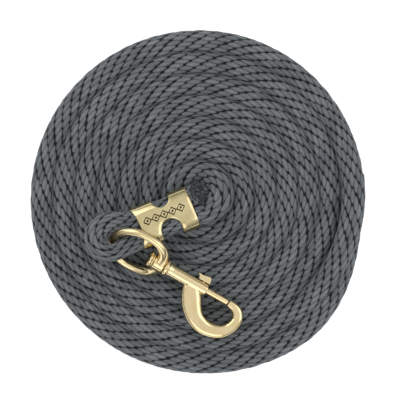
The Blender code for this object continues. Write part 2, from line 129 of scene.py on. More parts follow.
LOZENGE_LINE = 0.72 * MM            # half an engraved line's width
LOZENGE_OFFSET = 2.6 * MM           # across the clamp from its middle
ENGRAVED_DEPTH = 0.25 * MM

# snap, in its own frame: X along the swivel axis, origin at the ring's centre
RING_TILT = math.radians(48)
RING_RADIUS = 18.4 * MM
RING_WIRE = 2.6 * MM
RING_SHOULDER = 1.5 * MM            # the ring bulges out this far on both sides of its boss
RING_THICKENING = 1.9 * MM          # and its wire thickens towards it
BOSS_RADIUS = 5.4 * MM
BOSS_FROM = 13.3 * MM
BOSS_TO = 21.6 * MM
RIVET_RADIUS = 1.75 * MM
RIVET_HEAD = 5.8 * MM
WASHER_RADIUS = 5.2 * MM
COLLAR_RADIUS = 6.0 * MM
BARREL_FROM = 26.7 * MM
BARREL_TO = 55.6 * MM
BARREL_RADIUS = 4.5 * MM
BORE_FROM = 27.6 * MM
BORE_RADIUS = 2.65 * MM
BOLT_RADIUS = 2.35 * MM
BOLT_FROM = 45.5 * MM
BOLT_TO = 73.0 * MM
KNOB_POST_AT = 51.4 * MM
KNOB_POST_RADIUS = 1.3 * MM
SLOT_WIDTH = 3.2 * MM
BOLT_TRAVEL = JOINTS["bolt_slide"]["range_m"][1]
BAR_POWER = 2.8                     # how square the hook's section is
SPRING_TURNS = 8
SPRING_WIRE = 0.3 * MM
GAP = 0.3 * MM
MERGE = 1e-7                        # points nearer than this are one

# the braid: 18 columns of stitches, each column set forward of the one before it
COLUMNS = 18
STITCH_REPEAT = 11.85 * MM
COLUMN_SHIFT = 7 / 18               # in stitch repeats
STITCH_HALF_LENGTH = 5.2 * MM
STITCH_HALF_WIDTH = 2.1 * MM
STITCH_DEPTH = 1.15 * MM
LEAF_POWER = 0.66                   # how slowly a stitch narrows towards its tips
TIP_POWER = 0.35                    # how slowly it gets lower towards them
STITCH_STRAY = 1.3 * MM             # how far stitches stray along the rope
WIDTH_SPREAD = 0.14                 # between the narrowest and the widest stitch
HEIGHT_SPREAD = 0.10                # and between the lowest and the highest
THIN = 1e-6                         # keeps a stitch's width above 0
SEAM_WIDTH = 0.52                   # a seam has faded where two stitches' tents differ by this
SEAM_DEPTH = 0.38                   # as a share of a stitch's height
SHUFFLE_SIZE = 997                  # random numbers that the stitches pick theirs from
STITCH_STEP = 7                     # places on in them from stitch to stitch
COLUMN_STEP = 131                   # and from column to column
SECTION_POWER = 2.4                 # how square the rope's section is where turns press together
SIDE_SWELL = 0.075                  # and how much further it bulges there
SIDE_FLATTENING = 0.55              # of the stitches' depth, lost there
# how the columns wander round the rope: swing in radians, length scale, phase
DRIFTS = ((0.55, 93 * MM, 0.0), (0.35, 41 * MM, 1.3))
SIDES_PER_COLUMN = 5
RINGS_PER_STITCH = 11

# camera and floor
CAMERA_PLACE = (2.1 * MM, 1.2 * MM, 1.5)
CAMERA_LENS = 192
CAMERA_FAR = 10
FLOOR_HALF = 3.0


# ---------------------------------------------------------------- camera and light

def make_camera():
    """Straight above the coil, far off with a long lens."""
    camera = bpy.data.cameras.new("camera")
    camera.lens = CAMERA_LENS
    camera.clip_end = CAMERA_FAR
    obj = bpy.data.objects.new("camera", camera)
    bpy.context.scene.collection.objects.link(obj)
    obj.location = CAMERA_PLACE
    bpy.context.scene.camera = obj


def make_area_light(name, place, size, power):
    light = bpy.data.lights.new(name, "AREA")
    light.shape = "SQUARE"
    light.size = size
    light.energy = power
    obj = bpy.data.objects.new(name, light)
    bpy.context.scene.collection.objects.link(obj)
    obj.location = place
    obj.rotation_euler = (-Vector(place)).to_track_quat("-Z", "Y").to_euler()


def make_lighting():
    """Three soft boxes round a pale tent that is darker towards the horizon."""
    make_area_light("upper_left", (-1.2, 1.4, 1.3), 1.9, 15)
    make_area_light("right", (1.7, 0.1, 1.3), 1.5, 8)
    make_area_light("front", (-0.1, -1.7, 1.3), 1.5, 7)
    world = bpy.data.worlds.new("studio")
    bpy.context.scene.world = world
    world.use_nodes = True
    tree = world.node_tree
    height = tree.nodes.new("ShaderNodeSeparateXYZ")
    tree.links.new(tree.nodes.new("ShaderNodeTexCoord").outputs["Generated"], height.inputs[0])
    sky = ramp_node(tree, height.outputs["Z"], [
        (0.05, grey(0.16)), (0.40, grey(0.45)), (0.82, grey(0.80)), (1.0, grey(0.84))])
    tree.links.new(sky, tree.nodes["Background"].inputs["Color"])
    bpy.context.scene.view_settings.view_transform = "Standard"


# ---------------------------------------------------------------- materials

def grey(level):
    return (level, level, level)


def new_material(name):
    """A material with its node tree and its shader."""
    material = bpy.data.materials.new(name)
    material.use_nodes = True
    tree = material.node_tree
    return material, tree, tree.nodes["Principled BSDF"]


def noise_node(tree, coordinates, scale, detail=3.0, stretch=(1, 1, 1)):
    """Noise over stretched coordinates, from 0 to 1."""
    mapping = tree.nodes.new("ShaderNodeMapping")
    mapping.inputs["Scale"].default_value = stretch
    tree.links.new(coordinates, mapping.inputs["Vector"])
    texture = tree.nodes.new("ShaderNodeTexNoise")
    texture.inputs["Scale"].default_value = scale
    texture.inputs["Detail"].default_value = detail
    tree.links.new(mapping.outputs["Vector"], texture.inputs["Vector"])
    return texture.outputs["Fac"]


def ramp_node(tree, factor, stops):
    """A colour ramp through (position, colour) stops."""
    ramp = tree.nodes.new("ShaderNodeValToRGB")
    elements = ramp.color_ramp.elements
    while len(elements) < len(stops):
        elements.new(0.5)
    for element, (position, colour) in zip(elements, stops):
        element.position = position
        element.color = (*colour, 1.0)
    tree.links.new(factor, ramp.inputs["Fac"])
    return ramp.outputs["Color"]


def bump_node(tree, height, distance, strength=1.0, normal=None):
    bump = tree.nodes.new("ShaderNodeBump")
    bump.inputs["Distance"].default_value = distance
    bump.inputs["Strength"].default_value = strength
    tree.links.new(height, bump.inputs["Height"])
    if normal is not None:
        tree.links.new(normal, bump.inputs["Normal"])
    return bump.outputs["Normal"]


def object_coordinates(tree):
    return tree.nodes.new("ShaderNodeTexCoord").outputs["Object"]


def multiply_colour(tree, colour, factor):
    """A colour darkened by a grey factor."""
    product = tree.nodes.new("ShaderNodeVectorMath")
    product.operation = "MULTIPLY"
    tree.links.new(colour, product.inputs[0])
    tree.links.new(factor, product.inputs[1])
    return product.outputs["Vector"]


def make_rope_material():
    """Matt spun yarn: painted shade in the gaps between the stitches and along the seams where they
    meet, fine fibres along them, a little mottle.
    """
    material, tree, shader = new_material("rope_yarn")
    weave = tree.nodes.new("ShaderNodeAttribute")
    weave.attribute_name = "weave"
    channels = tree.nodes.new("ShaderNodeSeparateXYZ")
    tree.links.new(weave.outputs["Vector"], channels.inputs[0])
    depth, tone, seam = (channels.outputs[axis] for axis in "XYZ")
    unrolled = tree.nodes.new("ShaderNodeAttribute")
    unrolled.attribute_name = "unrolled"
    flat = unrolled.outputs["Vector"]
    fibres = noise_node(tree, flat, 1900, 3.0, (1.0, 1.0, 0.28))
    mottle = noise_node(tree, flat, 75, 2.0)
    yarn = ramp_node(tree, tone, [(0.0, (0.130, 0.143, 0.155)), (1.0, (0.182, 0.197, 0.210))])
    # painted shade: darker where the stitches are low, in the gaps between them, and a little painted
    # light on their crowns
    shade = ramp_node(tree, depth, [
        (0.0, grey(0.04)), (0.22, grey(0.30)), (0.50, grey(0.90)), (1.0, grey(1.06))])
    grain = ramp_node(tree, fibres, [(0.30, grey(0.68)), (0.72, grey(1.22))])
    blotch = ramp_node(tree, mottle, [(0.30, (0.88, 0.88, 0.89)), (0.70, (1.08, 1.08, 1.07))])
    # painted shade: dark lines along the seams where two stitches meet
    outline = ramp_node(tree, seam, [(0.0, grey(0.06)), (0.55, grey(0.82)), (1.0, grey(1.04))])
    colour = yarn
    for factor in (shade, outline, grain, blotch):
        colour = multiply_colour(tree, colour, factor)
    tree.links.new(colour, shader.inputs["Base Color"])
    tree.links.new(bump_node(tree, fibres, 0.35 * MM, 0.8), shader.inputs["Normal"])
    shader.inputs["Roughness"].default_value = 0.88
    shader.inputs["Specular IOR Level"].default_value = 0.25
    shader.inputs["Sheen Weight"].default_value = 0.12
    shader.inputs["Sheen Roughness"].default_value = 0.6
    return material


def make_sealed_material():
    """Nylon melted at the cut: near black, mottled and slightly glossy in places."""
    material, tree, shader = new_material("melted_nylon")
    place = object_coordinates(tree)
    spots = noise_node(tree, place, 620, 4.0)
    colour = ramp_node(tree, spots, [(0.38, (0.006, 0.007, 0.008)), (0.52, (0.020, 0.022, 0.026)),
                                     (0.66, (0.125, 0.130, 0.138))])
    tree.links.new(colour, shader.inputs["Base Color"])
    rough = ramp_node(tree, spots, [(0.35, grey(0.42)), (0.70, grey(0.85))])
    tree.links.new(rough, shader.inputs["Roughness"])
    tree.links.new(bump_node(tree, spots, 0.9 * MM, 0.9), shader.inputs["Normal"])
    return material


def make_brass_material(name, light, deep, rough_low, rough_high):
    """Polished cast brass: warm patina patches, hazy polish and fine handling scratches."""
    material, tree, shader = new_material(name)
    place = object_coordinates(tree)
    patina = noise_node(tree, place, 95, 4.0)
    haze = noise_node(tree, place, 480, 3.0)
    scratches = noise_node(tree, place, 1500, 2.0, (0.08, 1.0, 0.6))
    colour = ramp_node(tree, patina, [(0.30, deep), (0.62, light)])
    engraved = tree.nodes.new("ShaderNodeAttribute")
    engraved.attribute_name = "engraved"
    fill = ramp_node(tree, engraved.outputs["Fac"], [(0.1, grey(1.0)), (0.55, (0.05, 0.04, 0.03))])
    tree.links.new(multiply_colour(tree, colour, fill), shader.inputs["Base Color"])
    rough = ramp_node(tree, haze, [(0.30, grey(rough_low)), (0.75, grey(rough_high))])
    tree.links.new(rough, shader.inputs["Roughness"])
    first = bump_node(tree, scratches, 0.02 * MM, 0.35)
    tree.links.new(bump_node(tree, patina, 0.15 * MM, 0.12, first), shader.inputs["Normal"])
    shader.inputs["Metallic"].default_value = 1.0
    return material


def make_steel_material():
    """Bright drawn spring wire."""
    material, tree, shader = new_material("spring_steel")
    place = object_coordinates(tree)
    stain = noise_node(tree, place, 700, 3.0)
    colour = ramp_node(tree, stain, [(0.3, (0.42, 0.42, 0.43)), (0.7, (0.62, 0.62, 0.63))])
    tree.links.new(colour, shader.inputs["Base Color"])
    rough = ramp_node(tree, stain, [(0.3, grey(0.22)), (0.7, grey(0.40))])
    tree.links.new(rough, shader.inputs["Roughness"])
    shader.inputs["Metallic"].default_value = 1.0
    return material


def make_floor_material():
    """A matt white sweep that glows a little, so that the shadows on it stay faint."""
    material, tree, shader = new_material("white_sweep")
    shader.inputs["Base Color"].default_value = (0.93, 0.93, 0.93, 1.0)
    shader.inputs["Emission Color"].default_value = (1.0, 1.0, 1.0, 1.0)
    shader.inputs["Emission Strength"].default_value = 0.5
    shader.inputs["Roughness"].default_value = 0.9
    return material


# ---------------------------------------------------------------- helpers

def clipped(value):
    return min(1.0, max(0.0, value))


def add_object(name, mesh, material):
    obj = bpy.data.objects.new(name, mesh)
    mesh.materials.clear()
    mesh.materials.append(material)
    bpy.context.scene.collection.objects.link(obj)
    return obj


def smooth_path(points, steps):
    """Points along a Catmull-Rom curve through the given ones, numbers of any length."""
    ends = [2 * points[0] - points[1]] + points + [2 * points[-1] - points[-2]]
    path = []
    for a, b, c, d in zip(ends, ends[1:], ends[2:], ends[3:]):
        for k in range(steps):
            t = k / steps
            path.append(0.5 * (2 * b + (c - a) * t + (2 * a - 5 * b + 4 * c - d) * t ** 2
                               + (3 * b - a - 3 * c + d) * t ** 3))
    path.append(points[-1])
    return path


def mesh_from_grid(name, rings, close_ends=True):
    """A closed-round tube mesh through an array of rings, shape (rings, sides, 3)."""
    count, sides = rings.shape[:2]
    mesh = bpy.data.meshes.new(name)
    index = np.arange(count * sides).reshape(count, sides)
    after = np.roll(index, -1, axis=1)
    quads = np.stack([index[:-1], after[:-1], after[1:], index[1:]], axis=-1).reshape(-1, 4)
    faces = quads.tolist()
    if close_ends:
        faces.append(index[0, ::-1].tolist())
        faces.append(index[-1].tolist())
    mesh.from_pydata(rings.reshape(-1, 3).tolist(), [], faces)
    mesh.shade_smooth()
    return mesh


def face_out(mesh, merge=False):
    """Turn all faces outward, after doubled points are joined if asked."""
    bm = bmesh.new()
    bm.from_mesh(mesh)
    if merge:
        bmesh.ops.remove_doubles(bm, verts=bm.verts, dist=MERGE)
    bmesh.ops.recalc_face_normals(bm, faces=bm.faces)
    bm.to_mesh(mesh)
    bm.free()
    return mesh


def turned(name, profile, sides=96):
    """Spin (x, radius) points round the X axis into one closed body."""
    mesh = bpy.data.meshes.new(name)
    bm = bmesh.new()
    verts = [bm.verts.new((x, radius, 0)) for x, radius in profile]
    edges = [bm.edges.new(pair) for pair in zip(verts, verts[1:])]
    if profile[0][1] > 0:
        edges.append(bm.edges.new((verts[-1], verts[0])))
    bmesh.ops.spin(bm, geom=verts + edges, cent=(0, 0, 0), axis=(1, 0, 0),
                   angle=2 * math.pi, steps=sides, use_merge=True)
    bmesh.ops.remove_doubles(bm, verts=bm.verts, dist=MERGE)
    bmesh.ops.recalc_face_normals(bm, faces=bm.faces)
    bm.to_mesh(mesh)
    bm.free()
    mesh.shade_smooth()
    mesh.set_sharp_from_angle(angle=math.radians(50))
    return mesh


def rod(name, start, end, radius, sides=64):
    """A round rod along X from start to end."""
    return turned(name, [(start, 0.0), (start, radius), (end, radius), (end, 0.0)], sides)


def rounded_profile(corners, radius, steps=4):
    """(x, radius) corners with each inner one turned into a short arc."""
    points = [Vector(corner) for corner in corners]
    result = [points[0]]
    for before, here, after in zip(points, points[1:], points[2:]):
        reach = min(radius, (before - here).length * 0.45, (after - here).length * 0.45)
        start = here + (before - here).normalized() * reach
        stop = here + (after - here).normalized() * reach
        for k in range(steps + 1):
            t = k / steps
            result.append(start * (1 - t) ** 2 + here * 2 * t * (1 - t) + stop * t * t)
    result.append(points[-1])
    return [(point.x, point.y) for point in result]


def cast(name, base, material, joined=(), cut=(), voxel=0.25 * MM, passes=8):
    """A body joined and cut, then remeshed and eased so that its edges look cast."""
    obj = add_object(name, base, material)
    helpers = []
    for operation, others in (("UNION", joined), ("DIFFERENCE", cut)):
        for number, mesh in enumerate(others):
            other = bpy.data.objects.new(f"{name}_{operation.lower()}_{number}", mesh)
            bpy.context.scene.collection.objects.link(other)
            helpers.append(other)
            modifier = obj.modifiers.new(other.name, "BOOLEAN")
            modifier.operation = operation
            modifier.solver = "EXACT"
            modifier.object = other
    remesh = obj.modifiers.new("remesh", "REMESH")
    remesh.mode = "VOXEL"
    remesh.voxel_size = voxel
    ease = obj.modifiers.new("ease", "SMOOTH")
    ease.factor = 0.5
    ease.iterations = passes
    bake_modifiers(obj)
    for helper in helpers:
        bpy.data.objects.remove(helper, do_unlink=True)
    return obj


def bake_modifiers(obj):
    """Turn the object's modifiers into its mesh."""
    bpy.context.view_layer.update()
    shown = obj.evaluated_get(bpy.context.evaluated_depsgraph_get())
    mesh = bpy.data.meshes.new_from_object(shown)
    material = obj.data.materials[0]
    obj.modifiers.clear()
    obj.data = mesh
    mesh.materials.clear()
    mesh.materials.append(material)
    mesh.shade_smooth()


def snap_frame():
    """The snap's own frame, from its two joints: X along the swivel, Y along the ring's hinge."""
    along = -Vector(JOINTS["hook_swivel"]["axis"])
    across = -Vector(JOINTS["eye_lift"]["axis"])
    above = along.cross(across)
    place = Matrix((along, across, above)).transposed().to_4x4()
    place.translation = Vector(JOINTS["hook_swivel"]["pos_m"])
    return place


def settle(obj, place, body, node):
    """Put a finished piece in place, on its body, for the CAD node that it stands for."""
    obj.data.transform(place)
    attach(obj, body)
    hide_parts(node)


# ---------------------------------------------------------------- rope

def spiral_point(angle, height=ROPE_RADIUS):
    """The rope's middle in the coil; its last stretch runs in under the turn inside it."""
    radius = SPIRAL_START + TURN_PITCH * angle / (2 * math.pi)
    radius -= TURN_PITCH * tuck_share(angle)
    eased = clipped((angle - FIRST_TURN_START) / (2 * FIRST_TURN_END))
    radius -= START_INSET * 0.5 * (1 + math.cos(math.pi * eased))
    flat = COIL_CENTRE + radius * Vector((math.cos(angle), math.sin(angle)))
    return Vector((flat.x, flat.y, height))


def tuck_share(angle):
    """How far the far end has run in, from 0 to 1 turn pitch."""
    share = clipped((angle - LAST_ANGLE + TUCK_SPAN) / TUCK_SPAN)
    return share * share * (3 - 2 * share)


def crossing_lift(angle):
    """How far a turn is lifted there by the tucked end that lies under it."""
    below = angle + 2 * math.pi
    if below < LAST_ANGLE:
        apart = TURN_PITCH * (1 - tuck_share(below))
        return math.sqrt(max(0.0, CROSSING ** 2 - apart ** 2))
    share = min(1.0, (below - LAST_ANGLE) / COME_DOWN)
    return CROSSING * 0.5 * (1 + math.cos(math.pi * share))


def coil_height(angle):
    """Height of the rope's middle in the coil, the lift averaged over a short stretch."""
    if not LAST_ANGLE - 2.5 * math.pi <= angle <= LAST_ANGLE - math.pi:
        return ROPE_RADIUS
    lifts = [crossing_lift(angle + LIFT_SPREAD * k / LIFT_SAMPLES)
             for k in range(-LIFT_SAMPLES, LIFT_SAMPLES + 1)]
    return ROPE_RADIUS + sum(lifts) / len(lifts)


def clamp_place(along, across, above=0.0):
    """A point in the clamp's tilted frame: along the strands, across them, above them."""
    turn = Matrix.Rotation(CLAMP_YAW, 3, "Z") @ Matrix.Rotation(CLAMP_TILT, 3, "Y")
    return CLAMP_CENTRE + turn @ Vector((along, across, above))


def lane_points(alongs, across):
    """Route points along one strand's lane, swelling again outside the clamp."""
    points = []
    for along in alongs:
        flare = EXIT_FLARE if abs(along) > CLAMP_LENGTH / 2 else 0.0
        points.append((*clamp_place(along, across), CLAMPED_RADIUS + flare))
    return points


def strand_route():
    """The free strand as (x, y, z, radius) points: sealed tail, clamp, bight, clamp, first turn."""
    half = CLAMP_LENGTH / 2
    alongs = (half + STRAIGHT_PAST, 0.55 * half, -0.55 * half, -half - STRAIGHT_PAST)
    # the tail's last stretch turns up, so that its melted end shows
    route = [(*clamp_place(28.4 * MM, 7.6 * MM, 4.4 * MM), CLAMPED_RADIUS + TAIL_SWELLING)]
    route.append((*clamp_place(25.8 * MM, 7.1 * MM, 0.9 * MM), CLAMPED_RADIUS + 0.5 * MM))
    route.extend(lane_points(alongs, LANE))
    # round the bight: over the ring's low side and back through it
    for x, y, z, radius in (
        (-51.5, -14.6, 31.6, 7.2), (-60.0, -14.6, 33.2, 7.4), (-67.2, -18.6, 35.0, 7.4),
        (-69.6, -26.0, 36.8, 7.2), (-65.8, -32.4, 37.6, 6.6), (-57.4, -34.8, 37.4, 6.2),
        (-48.2, -30.6, 34.4, 6.5),
    ):
        route.append((x * MM, y * MM, z * MM, radius * MM))
    route.extend(lane_points(alongs[::-1], -LANE))
    # one point on the way down into the first turn
    route.append((6.4 * MM, -8.3 * MM, 23.0 * MM, ROPE_RADIUS))
    for k in range(FIRST_TURN_STEPS + 1):
        gone = k / FIRST_TURN_STEPS
        angle = FIRST_TURN_START + (FIRST_TURN_END - JOIN_GAP - FIRST_TURN_START) * gone
        share = min(1.0, (angle - FIRST_TURN_START) / (FLOOR_AT - FIRST_TURN_START))
        height = ROPE_RADIUS + STRAND_LIFT * 0.5 * (1 + math.cos(math.pi * share))
        swelling = START_SWELLING * math.sqrt(1 - gone)
        route.append((*spiral_point(angle, height), ROPE_RADIUS + swelling))
    return route


def rope_route():
    """The whole rope as (x, y, z, radius) points, from its sealed tail to its far end."""
    route = strand_route()
    start = FIRST_TURN_END - JOIN_GAP
    steps = round((LAST_ANGLE - start) / COIL_STEP)
    for k in range(1, steps + 1):
        angle = start + (LAST_ANGLE - start) * k / steps
        route.append((*spiral_point(angle, coil_height(angle)), ROPE_RADIUS))
    return route


def even_path(route, spacing):
    """The smoothed route at even spacing: rows of x, y, z, radius, and each row's distance."""
    dense = np.array([tuple(point) for point in smooth_path([Vector(row) for row in route], 12)])
    steps = np.linalg.norm(np.diff(dense[:, :3], axis=0), axis=1)
    travelled = np.concatenate([[0.0], np.cumsum(steps)])
    count = round(travelled[-1] / spacing) + 1
    even = np.linspace(0.0, travelled[-1], count)
    rows = np.stack([np.interp(even, travelled, dense[:, k]) for k in range(4)], axis=1)
    return rows, even


def path_frames(points):
    """At each point the two directions across the path: up, and to its left."""
    ahead = np.gradient(points, axis=0)
    ahead /= np.linalg.norm(ahead, axis=1)[:, None]
    left = np.cross((0.0, 0.0, 1.0), ahead)
    left /= np.linalg.norm(left, axis=1)[:, None]
    return np.cross(ahead, left), left


def stitch_field(along, column, shuffle):
    """Height, tone and distance from a seam, each 0 to 1, at a distance along and a column.

    A stitch's tent falls evenly from its middle line to its edge. Where the two highest tents
    are equal, two stitches meet in a seam.
    """
    height = np.zeros_like(along)
    first = np.zeros_like(along)
    second = np.zeros_like(along)
    tone = np.full_like(along, 0.5)
    nearest = np.round(column)
    for side in (-1, 0, 1):
        line = nearest + side
        across = (column - line) * 2 * math.pi * ROPE_RADIUS / COLUMNS
        turns = along / STITCH_REPEAT - COLUMN_SHIFT * line
        number = np.round(turns)
        forward = (turns - number) * STITCH_REPEAT
        pick = (number * STITCH_STEP + (line % COLUMNS) * COLUMN_STEP).astype(int) % len(shuffle)
        jitter = shuffle[pick]
        reach = 1 - ((forward + (jitter - 0.5) * STITCH_STRAY) / STITCH_HALF_LENGTH) ** 2
        reach = np.clip(reach, 0.0, 1.0)
        width = STITCH_HALF_WIDTH * reach ** LEAF_POWER * (1 + WIDTH_SPREAD * (jitter - 0.5)) + THIN
        round_top = np.clip(1 - (across / width) ** 2, 0.0, 1.0)
        lobe = np.sqrt(round_top) * reach ** TIP_POWER * (1 - HEIGHT_SPREAD * (1 - jitter))
        tent = np.clip(1 - np.abs(across) / width, 0.0, 1.0) * reach ** TIP_POWER
        tone = np.where(tent > first, jitter, tone)
        second = np.maximum(second, np.minimum(first, tent))
        first = np.maximum(first, tent)
        height = np.maximum(height, lobe)
    seam = np.clip((first - second) / SEAM_WIDTH, 0.0, 1.0)
    return height * (1 - SEAM_DEPTH * (1 - seam)), tone, seam


def surface_reach(distance, radius, angle, height):
    """How far the rope's surface is from its middle, pressed square and flat by its neighbours."""
    pressed = np.clip((radius - CLAMPED_RADIUS) / (ROPE_RADIUS - CLAMPED_RADIUS), 0.0, 1.0)
    # nothing presses the outer side of the outermost turn
    last_turn = 2 * math.pi * (CAD_BOX[1].x - ROPE_RADIUS)
    outermost = distance > distance[-1] - last_turn
    pressed = np.where(outermost & (np.sin(angle) < 0), 0.0, pressed)
    square = np.abs(np.cos(angle)) ** SECTION_POWER + np.abs(np.sin(angle)) ** SECTION_POWER
    swell = square ** (-1 / SECTION_POWER) * (1 + SIDE_SWELL * np.sin(angle) ** 4)
    touch = 1 - SIDE_FLATTENING * pressed * np.sin(angle) ** 8
    return radius * (1 + pressed * (swell - 1)) - STITCH_DEPTH * touch * (1 - height)


def make_rope():
    """The whole rope as one tube, its surface raised into the braid's stitches."""
    rows, distance = even_path(rope_route(), STITCH_REPEAT / RINGS_PER_STITCH)
    middle, radius = rows[:, :3], rows[:, 3]
    up, left = path_frames(middle)
    sides = COLUMNS * SIDES_PER_COLUMN
    drift = sum(swing * np.sin(distance / length + phase) for swing, length, phase in DRIFTS)
    column = np.arange(sides) / SIDES_PER_COLUMN
    angle = 2 * math.pi * column[None, :] / COLUMNS - drift[:, None]
    along = np.repeat(distance[:, None], sides, axis=1)
    shuffle = np.random.default_rng(7).random(SHUFFLE_SIZE)
    columns = np.repeat(column[None, :], len(distance), axis=0)
    height, tone, seam = stitch_field(along, columns, shuffle)
    reach = surface_reach(distance[:, None], radius[:, None], angle, height)
    ring = (np.cos(angle) * reach)[..., None] * up[:, None, :]
    ring = ring + (np.sin(angle) * reach)[..., None] * left[:, None, :]
    rings = middle[:, None, :] + ring
    # it rests on the floor and doesn't go through it
    rings[..., 2] = np.maximum(rings[..., 2], 0.0)
    mesh = mesh_from_grid("rope", rings)
    # the stitches' height and seams, which the rope's material turns into painted shade, and their tone
    weave = np.stack([height, tone, seam], axis=-1)
    turn = 2 * math.pi * column[None, :] / COLUMNS * np.ones_like(along)
    unrolled = np.stack([ROPE_RADIUS * np.cos(turn), ROPE_RADIUS * np.sin(turn), along], axis=-1)
    for name, values in (("weave", weave), ("unrolled", unrolled)):
        attribute = mesh.attributes.new(name, "FLOAT_VECTOR", "POINT")
        attribute.data.foreach_set("vector", values.reshape(-1).astype(np.float32))
    rope = add_object("rope", mesh, make_rope_material())
    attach(rope, "rope")
    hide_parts("rope_coil", "rope_strand")
    return rope, rows, distance


def make_seal(name, end, direction, radius, material):
    """A melted rope end: a shallow lumpy cap with a rolled rim."""
    profile = [(SEAL_LENGTH * far, radius * wide) for far, wide in SEAL_PROFILE]
    path = smooth_path([Vector(point) for point in profile[1:]], 5)
    mesh = turned(name, [profile[0]] + [(point.x, max(0.0, point.y)) for point in path], 72)
    for vertex in mesh.vertices:
        lump = noise.noise(vertex.co / LUMP_SIZE) * LUMP_HEIGHT
        wider = lump * LUMP_SPREAD
        vertex.co += Vector((lump, vertex.co.y * wider, vertex.co.z * wider))
    seal = add_object(name, mesh, material)
    turn = Vector(direction).to_track_quat("X", "Z").to_matrix().to_4x4()
    seal.data.transform(Matrix.Translation(end) @ turn)
    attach(seal, "rope")
    return seal


# ---------------------------------------------------------------- brass clamp

def clamp_section():
    """The clamp's cross-section, middle of the sheet: flat on top, curled under both strands."""
    reach = CLAMPED_RADIUS + GAP + CLAMP_SHEET / 2
    right = []
    for k in range(WRAP_STEPS + 1):
        angle = math.radians(90 - CLAMP_WRAP * k / WRAP_STEPS)
        right.append((LANE + reach * math.cos(angle), reach * math.sin(angle)))
    left = [(-y, z) for y, z in reversed(right)]
    flat = [(LANE * share, reach) for share in (-0.75, -0.5, -0.25, 0.0, 0.25, 0.5, 0.75)]
    return left + flat + right


def sheet_mesh(name, section, start, stop, thickness):
    """A closed bent sheet along X whose cross-section follows an open line."""
    line = np.array(section)
    ahead = np.gradient(line, axis=0)
    ahead /= np.linalg.norm(ahead, axis=1)[:, None]
    out = np.stack([-ahead[:, 1], ahead[:, 0]], axis=1) * thickness / 2
    loop = np.concatenate([line + out, (line - out)[::-1]])
    rings = [np.column_stack([np.full(len(loop), x), loop]) for x in (start, stop)]
    mesh = bpy.data.meshes.new(name)
    count = len(loop)
    verts = np.concatenate(rings).tolist()
    faces = [(k, (k + 1) % count, count + (k + 1) % count, count + k) for k in range(count)]
    half = count // 2
    for base in (0, count):
        faces.extend((base + k, base + k + 1, base + count - 2 - k, base + count - 1 - k)
                     for k in range(half - 1))
    mesh.from_pydata(verts, [], faces)
    return face_out(mesh)


def prism(name, outline, bottom, top):
    """A closed prism over an outline in the XY plane."""
    mesh = bpy.data.meshes.new(name)
    count = len(outline)
    verts = [(x, y, z) for z in (bottom, top) for x, y in outline]
    faces = [(k, (k + 1) % count, count + (k + 1) % count, count + k) for k in range(count)]
    faces.append(tuple(range(count)))
    faces.append(tuple(range(count, 2 * count)))
    mesh.from_pydata(verts, [], faces)
    return face_out(mesh)


def slot_outline(along, low, high, radius):
    """A slot with round ends, from low to high across the clamp."""
    outline = []
    for centre, first in ((high, 0.0), (low, math.pi)):
        for k in range(33):
            angle = first + math.pi * k / 32
            outline.append((along + radius * math.cos(angle), centre + radius * math.sin(angle)))
    return outline


def disc_outline(along, across, radius):
    steps = [2 * math.pi * k / 256 for k in range(256)]
    return [(along + radius * math.cos(t), across + radius * math.sin(t)) for t in steps]


def rim_drop(x, y):
    """How far the stamping turns down towards the low notch and, less, towards its hollow ends."""
    notch = math.hypot(x - NOTCH_AT, max(0.0, y - LOW_NOTCH_TOP)) - LOW_NOTCH_RADIUS
    drop = RIM_DROP * clipped(1 - notch / RIM_WIDTH) ** 2
    for middle_x, middle_y, radius in (LEFT_HOLLOW, RIGHT_HOLLOW):
        end = math.hypot(x - middle_x, y - middle_y) - radius
        drop = max(drop, END_RIM_SHARE * RIM_DROP * clipped(1 - end / RIM_WIDTH) ** 2)
    return drop


def shape_plate(mesh):
    """Bow the plate, turn its rim down and press a plain chain of lozenges into its middle."""
    top = CLAMPED_RADIUS + GAP + 0.55 * CLAMP_SHEET
    marks = mesh.attributes.new("engraved", "FLOAT", "POINT")
    for vertex, mark in zip(mesh.vertices, marks.data):
        x, y, z = vertex.co
        vertex.co.z -= PLATE_CROWN * (2 * x / CLAMP_LENGTH) ** 2
        vertex.co.z -= rim_drop(x, y) * clipped(z / CLAMPED_RADIUS)
        if z < top or abs(x) > LOZENGE_CHAIN / 2:
            continue
        cell = abs((x / LOZENGE_LENGTH + 0.5) % 1.0 - 0.5) * LOZENGE_LENGTH
        edge = cell + abs(y - LOZENGE_OFFSET) * LOZENGE_LENGTH / LOZENGE_WIDTH
        line = abs(edge - 0.46 * LOZENGE_LENGTH) / LOZENGE_LINE
        dot = math.hypot(cell, y - LOZENGE_OFFSET) / (1.4 * LOZENGE_LINE)
        mark.value = max(0.0, 1.0 - min(line, dot) ** 2)
        vertex.co.z -= ENGRAVED_DEPTH * mark.value


